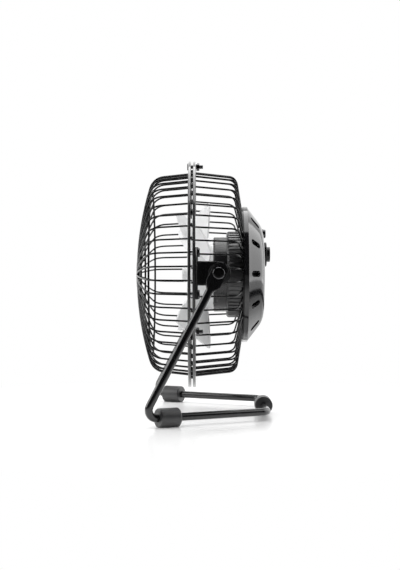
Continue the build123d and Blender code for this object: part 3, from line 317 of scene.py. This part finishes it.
# The rear wires: the same wire and number, a tighter shoulder, and a fold that lies on the rear plate.
# Their tabs sit beside the front ones in the gap between the rings, a little further round.
rear_tab_foot = 83.35
rear_shoulder, rear_shoulder_bend = (35.6, 79.5), 7.0
plate_fold, plate_fold_bend = (39.33, 57.0), 10.0
rear_wire_end = (39.33, 52.5)
tab_spacing = 1.5
tab_turn = tab_spacing / tab_end
rear_path = [
    (tab_offset, tab_end, 0), (tab_offset, rear_tab_foot, tab_bend),
    (*rear_shoulder, rear_shoulder_bend), (*plate_fold, plate_fold_bend), (*rear_wire_end, 0),
]
rear_wires = grown(
    "rear_cage_wires", path_seed("rear_path", rear_path), wire_tree,
    {
        "Wires": wire_count, "Turn": half_step + tab_turn, "Wire radius": wire_radius * mm,
        "Axis point": axis_point, "Coat": cage_coat,
    },
)
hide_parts("rear_wires")
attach(rear_wires, "head")

# The front hoops: two wire circles inside the dome, resistance-welded to every front wire.
# The welds are small pinched beads under the coating, at each crossing and at the wire ends.
# The radii of their circles and their other sizes are in millimetres, as for the wires.
outer_hoop, inner_hoop, disc_edge, plate_edge = 69.5, 38.0, 13.0, 53.3
weld_depth = 0.9
plate_weld_reach = 39.5
bead_radius = 0.75
bead_sides, bead_rings = 10, 6
for name in ("front_outer_hoop", "front_inner_hoop"):
    dress(name, cage_coat)


def bead_tree():
    """A tree that sets small flattened beads on a circle about the fan's axis."""
    sizes = (
        ("Beads", "Int"), ("Turn", "Float"), ("Circle", "Float"), ("Bead radius", "Float"),
        ("Flatness", "Vector"), ("Centre", "Vector"), ("Coat", "Material"),
    )
    tree = start_tree("beads_round_the_axis", "Start", sizes, "Welds")
    add, join = tree.nodes.new, tree.links.new
    given = add("NodeGroupInput").outputs
    ball = add("GeometryNodeMeshUVSphere")
    ball.inputs["Segments"].default_value = bead_sides
    ball.inputs["Rings"].default_value = bead_rings
    pressed = add("GeometryNodeTransform")
    lift = add("ShaderNodeCombineXYZ")
    smooth = add("GeometryNodeSetShadeSmooth")
    join(given["Bead radius"], ball.inputs["Radius"])
    join(ball.outputs["Mesh"], pressed.inputs["Geometry"])
    join(given["Circle"], lift.inputs["Z"])
    join(lift.outputs["Vector"], pressed.inputs["Translation"])
    join(given["Flatness"], pressed.inputs["Scale"])
    join(pressed.outputs["Geometry"], smooth.inputs["Geometry"])
    beads = copied_round(tree, smooth.outputs["Geometry"], given["Beads"], given["Turn"], given["Centre"])
    end_tree(tree, beads, given["Coat"])
    return tree


weld_tree = bead_tree()
for name, circle, reach, turn, shape in (
    ("outer_hoop_welds", outer_hoop, dome_reach(outer_hoop, weld_depth), half_step, (1.2, 0.8, 1.2)),
    ("inner_hoop_welds", inner_hoop, dome_reach(inner_hoop, weld_depth), half_step, (1.1, 0.8, 1.2)),
    ("disc_welds", disc_edge, dome_reach(disc_edge, weld_depth), half_step, (0.7, 0.7, 1.1)),
    ("plate_welds", plate_edge, plate_weld_reach, half_step + tab_turn, (1.1, 0.6, 1.5)),
):
    welds = grown(
        name, bpy.data.meshes.new(name + "_start"), weld_tree,
        {
            "Beads": wire_count, "Turn": turn, "Circle": circle * mm, "Bead radius": bead_radius * mm,
            "Flatness": shape, "Centre": (0.0, ring_y + reach * mm, axis_z), "Coat": cage_coat,
        },
    )
    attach(welds, "head")

# The front disc and its badge: a pressed disc behind the wire ends, and a plain domed cap that hides them.
# The cap is left bare and takes a finer, smoother coat than the wires.
badge_coat = finish(
    "badge_coat", (0.014, 0.014, 0.016), (0.02, 0.02, 0.023),
    blotch=40, rough=(0.1, 0.16), fine=900, depth=0.01 * mm, coat=0.8,
)
dress("front_disc", cage_coat)
dress("front_badge", badge_coat)

# The rim screws: three small pan-head machine screws with washers and nuts hold the rings together.
# The screws and nuts are black-zinc steel with a fine spangle, the washers are bright, and the ends of
# the threads show behind the nuts.
rim_screw_count = 3
rim_circle = 88.3 * mm
thread_turns, thread_steps, thread_sides = 4.6, 16, 6
thread_radius, thread_ridge, thread_end = 1.43 * mm, 0.16 * mm, 0.3 * mm
spangles, spangle_range = 1500, (0.1, 0.9)


def zinc(name, tone, other_tone, rough):
    """Plated or ground steel: a spangled tone, a fine grain and clear reflections."""
    made = finish(
        name, tone, other_tone, blotch=700, rough=rough, fine=2600, depth=0.01 * mm, metal=1.0, patchy=0.7,
    )
    tree = made.node_tree
    spangle = tree.nodes.new("ShaderNodeTexVoronoi")
    spangle.inputs["Scale"].default_value = spangles
    tree.links.new(tree.nodes["place"].outputs["Object"], spangle.inputs["Vector"])
    spangled = remapped(tree, spangle.outputs["Distance"], spangle_range)
    tree.links.new(spangled, tree.nodes["tones"].inputs["Factor"])
    return made


def coil_tree():
    """A tree that winds a wire or a thread about the fan's direction and sets copies of it on points."""
    sizes = (
        ("Turns", "Float"), ("Coil radius", "Float"), ("Height", "Float"), ("Wire radius", "Float"),
        ("Steps", "Int"), ("Metal", "Material"),
    )
    tree = start_tree("turns_on_points", "Spots", sizes, "Coils")
    add, join = tree.nodes.new, tree.links.new
    given = add("NodeGroupInput").outputs
    spiral = add("GeometryNodeCurveSpiral")
    section = add("GeometryNodeCurvePrimitiveCircle")
    section.inputs["Resolution"].default_value = thread_sides
    tube = add("GeometryNodeCurveToMesh")
    tube.inputs["Fill Caps"].default_value = True
    laid = add("GeometryNodeTransform")
    laid.inputs["Rotation"].default_value = (-math.pi / 2, 0, 0)
    smooth = add("GeometryNodeSetShadeSmooth")
    copies = add("GeometryNodeInstanceOnPoints")
    join(given["Steps"], spiral.inputs["Resolution"])
    join(given["Turns"], spiral.inputs["Rotations"])
    join(given["Coil radius"], spiral.inputs["Start Radius"])
    join(given["Coil radius"], spiral.inputs["End Radius"])
    join(given["Height"], spiral.inputs["Height"])
    join(given["Wire radius"], section.inputs["Radius"])
    join(spiral.outputs["Curve"], tube.inputs["Curve"])
    join(section.outputs["Curve"], tube.inputs["Profile Curve"])
    join(tube.outputs["Mesh"], laid.inputs["Geometry"])
    join(laid.outputs["Geometry"], smooth.inputs["Geometry"])
    join(given["Spots"], copies.inputs["Points"])
    join(smooth.outputs["Geometry"], copies.inputs["Instance"])
    end_tree(tree, copies.outputs["Instances"], given["Metal"])
    return tree


def loose_points(name, places):
    """Points in metres, for a tree to set copies on."""
    mesh = bpy.data.meshes.new(name)
    mesh.from_pydata(places, [], [])
    return mesh


dark_zinc = zinc("dark_zinc", (0.05, 0.05, 0.052), (0.1, 0.1, 0.103), rough=(0.08, 0.16))
bright_zinc = zinc("bright_zinc", (0.5, 0.5, 0.51), (0.66, 0.66, 0.67), rough=(0.2, 0.32))
for name in ("rim_screws", "rim_nuts"):
    dress(name, dark_zinc)
dress("rim_washers", bright_zinc)
turns_tree = coil_tree()
nut_rear_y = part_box("rim_nuts")[1].y
screw_end_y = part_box("rim_screws")[1].y
rim_turns = [2 * math.pi * number / rim_screw_count for number in range(rim_screw_count)]
rim_places = [
    (rim_circle * math.sin(turn), nut_rear_y + thread_end, axis_z + rim_circle * math.cos(turn))
    for turn in rim_turns
]
rim_threads = grown(
    "rim_screw_threads", loose_points("rim_places", rim_places), turns_tree,
    {
        "Turns": thread_turns, "Coil radius": thread_radius, "Wire radius": thread_ridge,
        "Height": screw_end_y - nut_rear_y - 2 * thread_end, "Steps": thread_steps, "Metal": dark_zinc,
    },
)
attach(rim_threads, "head")

# The pivot brackets: strips of steel folded into an L, in a glossy black coat.
# Four domed screws go in from behind through spacers in the ring gap.
bracket_coat = finish(
    "bracket_coat", (0.001, 0.001, 0.0012), (0.003, 0.003, 0.0033),
    blotch=80, rough=(0.08, 0.14), fine=1100, depth=0.01 * mm, coat=1.0, edge=2.4 * mm,
)
for name in ("pivot_bracket_left", "pivot_bracket_right"):
    dress(name, bracket_coat)
dress("bracket_screws", dark_zinc)
dress("ring_spacers", bright_zinc)

# The pivots: a cross-recess screw, a moulded friction washer and a nut on each side.
# The screws are black-zinc steel, the washers satin black nylon, and the nuts keep a bright plating.
nylon = finish(
    "nylon", (0.006, 0.006, 0.0065), (0.012, 0.012, 0.013),
    blotch=220, rough=(0.3, 0.42), fine=2600, depth=0.02 * mm, edge=0.4 * mm,
)
dress("pivot_screws", dark_zinc)
dress("pivot_washers", nylon)
dress("pivot_nuts", bright_zinc)

# The rear plate: a pressed steel disc that carries the wire ends, the motor and the cover.
# It is coated with the cage, so it has the same black coat.
dress("rear_plate", cage_coat)

# The rear cover: one injection-moulded bowl in glossy black plastic with twelve oblong slots.
# The mould leaves a very slight ripple and soft patches of more and less gloss. One dark screw holds it.
cover_gloss = finish(
    "cover_gloss", (0.004, 0.004, 0.0045), (0.007, 0.007, 0.008),
    blotch=25, rough=(0.1, 0.16), fine=700, depth=0.01 * mm, coat=0.5, edge=0.3 * mm,
)
dress("rear_cover", cover_gloss)
dress("cover_screw", dark_zinc)

# The motor: a deep-drawn steel can under satin black paint, closed by a cap, with a bush at each end.
# A ribbed plastic sleeve takes its rear half and screws to the plate.
rib_angle = 50
motor_paint = finish(
    "motor_paint", (0.004, 0.004, 0.0045), (0.009, 0.009, 0.01),
    blotch=110, rough=(0.24, 0.34), fine=1500, depth=0.03 * mm, coat=0.3,
)
sleeve_plastic = finish(
    "sleeve_plastic", (0.005, 0.005, 0.0055), (0.01, 0.01, 0.011),
    blotch=180, rough=(0.3, 0.42), fine=2400, depth=0.02 * mm, coat=0.3, shine=1.0,
)
sintered_bronze = finish(
    "sintered_bronze", (0.42, 0.26, 0.1), (0.58, 0.38, 0.16),
    blotch=900, rough=(0.35, 0.5), fine=4200, depth=0.05 * mm, metal=1.0,
)
dress("motor_can", motor_paint)
dress("end_cap", bright_zinc)
dress("motor_housing", sleeve_plastic, rib_angle)
dress("motor_screws", bright_zinc)
for name in ("front_bush", "rear_bush"):
    dress(name, sintered_bronze)

# The stator and rotor: stamped steel sheets in a stack, copper coils on six teeth, a ferrite ring magnet.
# The stack shows its sheets as fine lines across the shaft, the coils their turns and the shaft its grinding.
sheet_thickness, copper_wire, grinding_mark = 0.5 * mm, 0.4 * mm, 0.2 * mm
wave_length = 0.3142
wave_waver, ridge_strength = 0.3, 0.8
coil_angle = 45


def lined(material, spacing, depth):
    """Adds fine lines across the shaft to a finish. At a scale of 1 they are one wave_length apart."""
    tree = material.node_tree
    join = tree.links.new
    lines = tree.nodes.new("ShaderNodeTexWave")
    lines.bands_direction = "Y"
    lines.inputs["Scale"].default_value = wave_length / spacing
    lines.inputs["Distortion"].default_value = wave_waver
    ridges = tree.nodes.new("ShaderNodeBump")
    ridges.inputs["Strength"].default_value = ridge_strength
    ridges.inputs["Distance"].default_value = depth
    join(tree.nodes["place"].outputs["Object"], lines.inputs["Vector"])
    join(lines.outputs["Fac"], ridges.inputs["Height"])
    join(tree.nodes["relief"].outputs["Normal"], ridges.inputs["Normal"])
    join(ridges.outputs["Normal"], tree.nodes["Principled BSDF"].inputs["Normal"])


sheet_steel = zinc("sheet_steel", (0.36, 0.37, 0.39), (0.5, 0.51, 0.53), rough=(0.3, 0.42))
copper = finish(
    "copper", (0.52, 0.2, 0.08), (0.66, 0.28, 0.12),
    blotch=500, rough=(0.22, 0.34), fine=2600, depth=0.02 * mm, metal=1.0,
)
ferrite = finish(
    "ferrite", (0.05, 0.05, 0.055), (0.09, 0.09, 0.095),
    blotch=700, rough=(0.5, 0.66), fine=3600, depth=0.06 * mm,
)
lead_sleeve = finish(
    "lead_sleeve", (0.42, 0.02, 0.02), (0.55, 0.035, 0.03),
    blotch=300, rough=(0.38, 0.5), fine=3000, depth=0.02 * mm,
)
ground_steel = zinc("ground_steel", (0.6, 0.61, 0.63), (0.72, 0.73, 0.75), rough=(0.12, 0.2))
lined(sheet_steel, sheet_thickness, depth=0.1 * mm)
lined(copper, copper_wire, depth=0.15 * mm)
lined(ground_steel, grinding_mark, depth=0.03 * mm)
for name in ("stator_core", "rotor_core"):
    dress(name, sheet_steel)
dress("windings", copper, coil_angle)
dress("rotor_magnet", ferrite)
dress("motor_leads", lead_sleeve)
dress("motor_shaft", ground_steel)

# The blade wheel: four twisted petals moulded in one with a cup-shaped hub, in a pale, faintly milky plastic.
# A cap nut of the same plastic holds it on the shaft.
milkiness = 0.15
light_depth = (4 * mm, 4 * mm, 4 * mm)
pale_plastic = finish(
    "pale_plastic", (0.84, 0.845, 0.85), (0.89, 0.892, 0.895),
    blotch=30, rough=(0.26, 0.36), fine=900, depth=0.02 * mm,
)
pale_shader = pale_plastic.node_tree.nodes["Principled BSDF"]
pale_shader.inputs["Subsurface Weight"].default_value = milkiness
pale_shader.inputs["Subsurface Radius"].default_value = light_depth
pale_shader.inputs["Subsurface Scale"].default_value = 1.0
for name in ("blade_wheel", "blade_nut"):
    dress(name, pale_plastic)

# The switch: a moulded barrel with a round flange, a bright washer under it, and the push button inside.
# The button has a smooth crown and comes back on a coil spring of hard steel wire, which shortens by
# 1.6 mm, a little more than the button's way in, so the two never meet.
spring_turns, spring_steps, spring_wire = 7.0, 24, 0.3 * mm
button_gloss = finish(
    "button_gloss", (0.003, 0.003, 0.0035), (0.006, 0.006, 0.0065),
    blotch=200, rough=(0.14, 0.22), fine=1800, depth=0.01 * mm, shine=0.25,
)
for name in ("switch_housing", "button_cap"):
    dress(name, button_gloss)
dress("switch_washer", bright_zinc)
dress("switch_nut", nylon)
spring_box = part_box("button_spring")
spring_length = spring_box[1].y - spring_box[0].y
spring_start = (0.0, spring_box[0].y + spring_wire, (spring_box[0].z + spring_box[1].z) / 2)
button_coil = grown(
    "button_return_spring", loose_points("spring_place", [spring_start]), turns_tree,
    {
        "Turns": spring_turns, "Coil radius": spring_box[1].x - spring_wire, "Wire radius": spring_wire,
        "Height": spring_length - 2 * spring_wire, "Steps": spring_steps, "Metal": ground_steel,
    },
)
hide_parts("button_spring")
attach(button_coil, "head")
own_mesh(button_coil)

# The circuit board: a green coated board with one chip and two small capacitors, on posts in the cover.
# Copper tracks show through its coating as slightly lighter lines.
track_scale, track_width = 120, 0.03
track_shades = {"Color1": 0.0, "Color2": 0.2, "Mortar": 1.0}
board_coat = finish(
    "board_coat", (0.01, 0.1, 0.035), (0.02, 0.16, 0.06),
    blotch=260, rough=(0.25, 0.35), fine=1600, depth=0.02 * mm,
)
board_tree = board_coat.node_tree
tracks = board_tree.nodes.new("ShaderNodeTexBrick")
tracks.inputs["Scale"].default_value = track_scale
tracks.inputs["Mortar Size"].default_value = track_width
for label, shade in track_shades.items():
    tracks.inputs[label].default_value = (shade, shade, shade, 1)
upright = board_tree.nodes.new("ShaderNodeMapping")
upright.inputs["Rotation"].default_value = (math.pi / 2, 0, 0)
board_tree.links.new(board_tree.nodes["place"].outputs["Object"], upright.inputs["Vector"])
board_tree.links.new(upright.outputs["Vector"], tracks.inputs["Vector"])
board_tree.links.new(tracks.outputs["Color"], board_tree.nodes["tones"].inputs["Factor"])
dress("circuit_board", board_coat)
dress("board_screws", bright_zinc)

# The power inlet: a folded sheet-steel shell round a small tongue, tin-plated.
# It sits just below the face of the cover.
tin_plate = zinc("tin_plate", (0.5, 0.5, 0.51), (0.62, 0.62, 0.63), rough=(0.24, 0.36))
dress("power_inlet", tin_plate)

# The floor: a round of white paper that keeps the fan's soft shadow and fades to plain white with distance.
# Polished pieces show it pale grey, with a dark band across it half a metre behind the cover and white
# past that, all of it dimmer towards +X. From below it is clear.
floor_radius, floor_corners = 4.0, 96
paper_white, paper_roughness, paper_shine = 0.93, 0.22, 0.4
fade_range = (0.1, 0.34)
near_white = 0.6
band_stops = ((0.36, near_white), (0.43, 0.01), (0.56, 0.01), (0.61, 1.0))
dim_range, dim_white = (0.2, 0.45), (1.0, 0.3)


def worked_out(tree, operation, first, second):
    """What one operation makes of two values."""
    work = tree.nodes.new("ShaderNodeMath")
    work.operation = operation
    tree.links.new(first, work.inputs[0])
    tree.links.new(second, work.inputs[1])
    return work.outputs["Value"]


def mixed_shaders(tree, amount, first, second):
    """Two shaders, the second one laid over the first by an amount."""
    mix = tree.nodes.new("ShaderNodeMixShader")
    tree.links.new(amount, mix.inputs["Fac"])
    tree.links.new(first, mix.inputs[1])
    tree.links.new(second, mix.inputs[2])
    return mix.outputs["Shader"]


floor_mesh = bpy.data.meshes.new("floor")
floor_form = bmesh.new()
bmesh.ops.create_circle(floor_form, cap_ends=True, segments=floor_corners, radius=floor_radius)
floor_form.to_mesh(floor_mesh)
floor_form.free()
floor = bpy.data.objects.new("floor", floor_mesh)
bpy.context.scene.collection.objects.link(floor)
paper = bpy.data.materials.new("studio_paper")
paper.use_nodes = True
sheet = paper.node_tree
add, join = sheet.nodes.new, sheet.links.new
paper_shader = sheet.nodes["Principled BSDF"]
paper_shader.inputs["Base Color"].default_value = (paper_white, paper_white, paper_white, 1)
paper_shader.inputs["Roughness"].default_value = paper_roughness
paper_shader.inputs["Specular IOR Level"].default_value = paper_shine
on_paper = add("ShaderNodeTexCoord").outputs["Object"]
ray = add("ShaderNodeLightPath").outputs
from_middle = add("ShaderNodeVectorMath")
from_middle.operation = "LENGTH"
spot = add("ShaderNodeSeparateXYZ")
band = add("ShaderNodeValToRGB")
for stop_place, level in band_stops:
    stop = band.color_ramp.elements.new(stop_place)
    stop.color = (level, level, level, 1)
band.color_ramp.elements[0].color = (near_white, near_white, near_white, 1)
glow = add("ShaderNodeEmission")
glow.inputs["Color"].default_value = (1, 1, 1, 1)
clear = add("ShaderNodeBsdfTransparent").outputs["BSDF"]
from_below = add("ShaderNodeNewGeometry").outputs["Backfacing"]
join(on_paper, from_middle.inputs[0])
join(on_paper, spot.inputs["Vector"])
join(spot.outputs["Y"], band.inputs["Fac"])
dimmed = remapped(sheet, spot.outputs["X"], dim_range, dim_white, eased=True)
in_mirror = worked_out(sheet, "MULTIPLY", band.outputs["Color"], dimmed)
only_mirror = worked_out(sheet, "MULTIPLY", in_mirror, ray["Is Glossy Ray"])
join(worked_out(sheet, "ADD", only_mirror, ray["Is Camera Ray"]), glow.inputs["Strength"])
faded = remapped(sheet, from_middle.outputs["Value"], fade_range, eased=True)
seen = worked_out(sheet, "MAXIMUM", ray["Is Camera Ray"], ray["Is Glossy Ray"])
white_amount = worked_out(sheet, "MULTIPLY", faded, seen)
above = mixed_shaders(sheet, white_amount, paper_shader.outputs["BSDF"], glow.outputs["Emission"])
both_sides = mixed_shaders(sheet, from_below, above, clear)
join(both_sides, sheet.nodes["Material Output"].inputs["Surface"])
floor_mesh.materials.append(paper)

# The surround: plain white to the eye and an even pale light on matt surfaces.
# Polished pieces show it white towards -X, grey beside the fan and dark towards +X, like an unlit room.
eye_white, even_white = 1.0, 0.7
far_side_range, far_side_white = (-0.92, -0.6), (1.0, 0.3)
dark_side_range, dark_side_white = (-0.3, 0.4), (1.0, 0.03)
world = bpy.data.worlds.new("studio")
bpy.context.scene.world = world
world.use_nodes = True
sky = world.node_tree
sky.nodes.clear()
add, join = sky.nodes.new, sky.links.new


def white_light(strength=1.0):
    """An even white light from all round."""
    light = sky.nodes.new("ShaderNodeBackground")
    light.inputs["Color"].default_value = (1, 1, 1, 1)
    light.inputs["Strength"].default_value = strength
    return light


direction = add("ShaderNodeTexCoord")
parts = add("ShaderNodeSeparateXYZ")
ray = add("ShaderNodeLightPath").outputs
in_mirrors, on_matt, to_eye = white_light(), white_light(even_white), white_light(eye_white)
join(direction.outputs["Generated"], parts.inputs["Vector"])
far_side = remapped(sky, parts.outputs["X"], far_side_range, far_side_white, eased=True)
dark_side = remapped(sky, parts.outputs["X"], dark_side_range, dark_side_white, eased=True)
join(worked_out(sky, "MULTIPLY", far_side, dark_side), in_mirrors.inputs["Strength"])
mirrored = worked_out(sky, "MAXIMUM", ray["Is Glossy Ray"], ray["Is Transmission Ray"])
on_pieces = mixed_shaders(sky, mirrored, on_matt.outputs["Background"], in_mirrors.outputs["Background"])
all_round = mixed_shaders(sky, ray["Is Camera Ray"], on_pieces, to_eye.outputs["Background"])
join(all_round, add("ShaderNodeOutputWorld").inputs["Surface"])

# The lamps: three broad soft panels, one overhead, one behind the cover and one in front of the cage.
# They light the pieces at a plain level and draw the long soft highlights on the cover and rod.
for name, place, aim, size, power in (
    ("overhead", (-0.2, 0.0, 0.95), (0.0, 0.0, 0.1), (0.8, 1.0), 7.0),
    ("rear_side", (-0.3, 0.95, 0.56), (-0.1, 0.0, 0.3), (1.3, 1.1), 7.6),
    ("front_side", (-0.05, -0.95, 0.5), (0.0, 0.0, 0.1), (0.9, 0.75), 6.0),
):
    lamp = bpy.data.lights.new(name, "AREA")
    lamp.shape = "RECTANGLE"
    lamp.size, lamp.size_y = size
    lamp.energy = power
    holder = bpy.data.objects.new(name, lamp)
    holder.location = place
    holder.rotation_euler = (Vector(aim) - Vector(place)).to_track_quat("-Z", "Y").to_euler()
    bpy.context.scene.collection.objects.link(holder)

# The camera: it stands level, a little below the head's axis and square to the tilt axis.
# It looks along -X from a metre away, through a long lens.
eye_distance, eye_height = 1.0, 105.3 * mm
eye_behind_rings = 6.4 * mm
eye = bpy.data.cameras.new("eye")
eye.sensor_width = 36.0
eye.lens = 76.8
eye.clip_start, eye.clip_end = 0.01, 20.0
camera = bpy.data.objects.new("camera", eye)
camera.location = (eye_distance, ring_y + eye_behind_rings, eye_height)
camera.rotation_euler = (math.pi / 2, 0, math.pi / 2)
bpy.context.scene.collection.objects.link(camera)
bpy.context.scene.camera = camera
bpy.context.scene.view_settings.view_transform = "Standard"
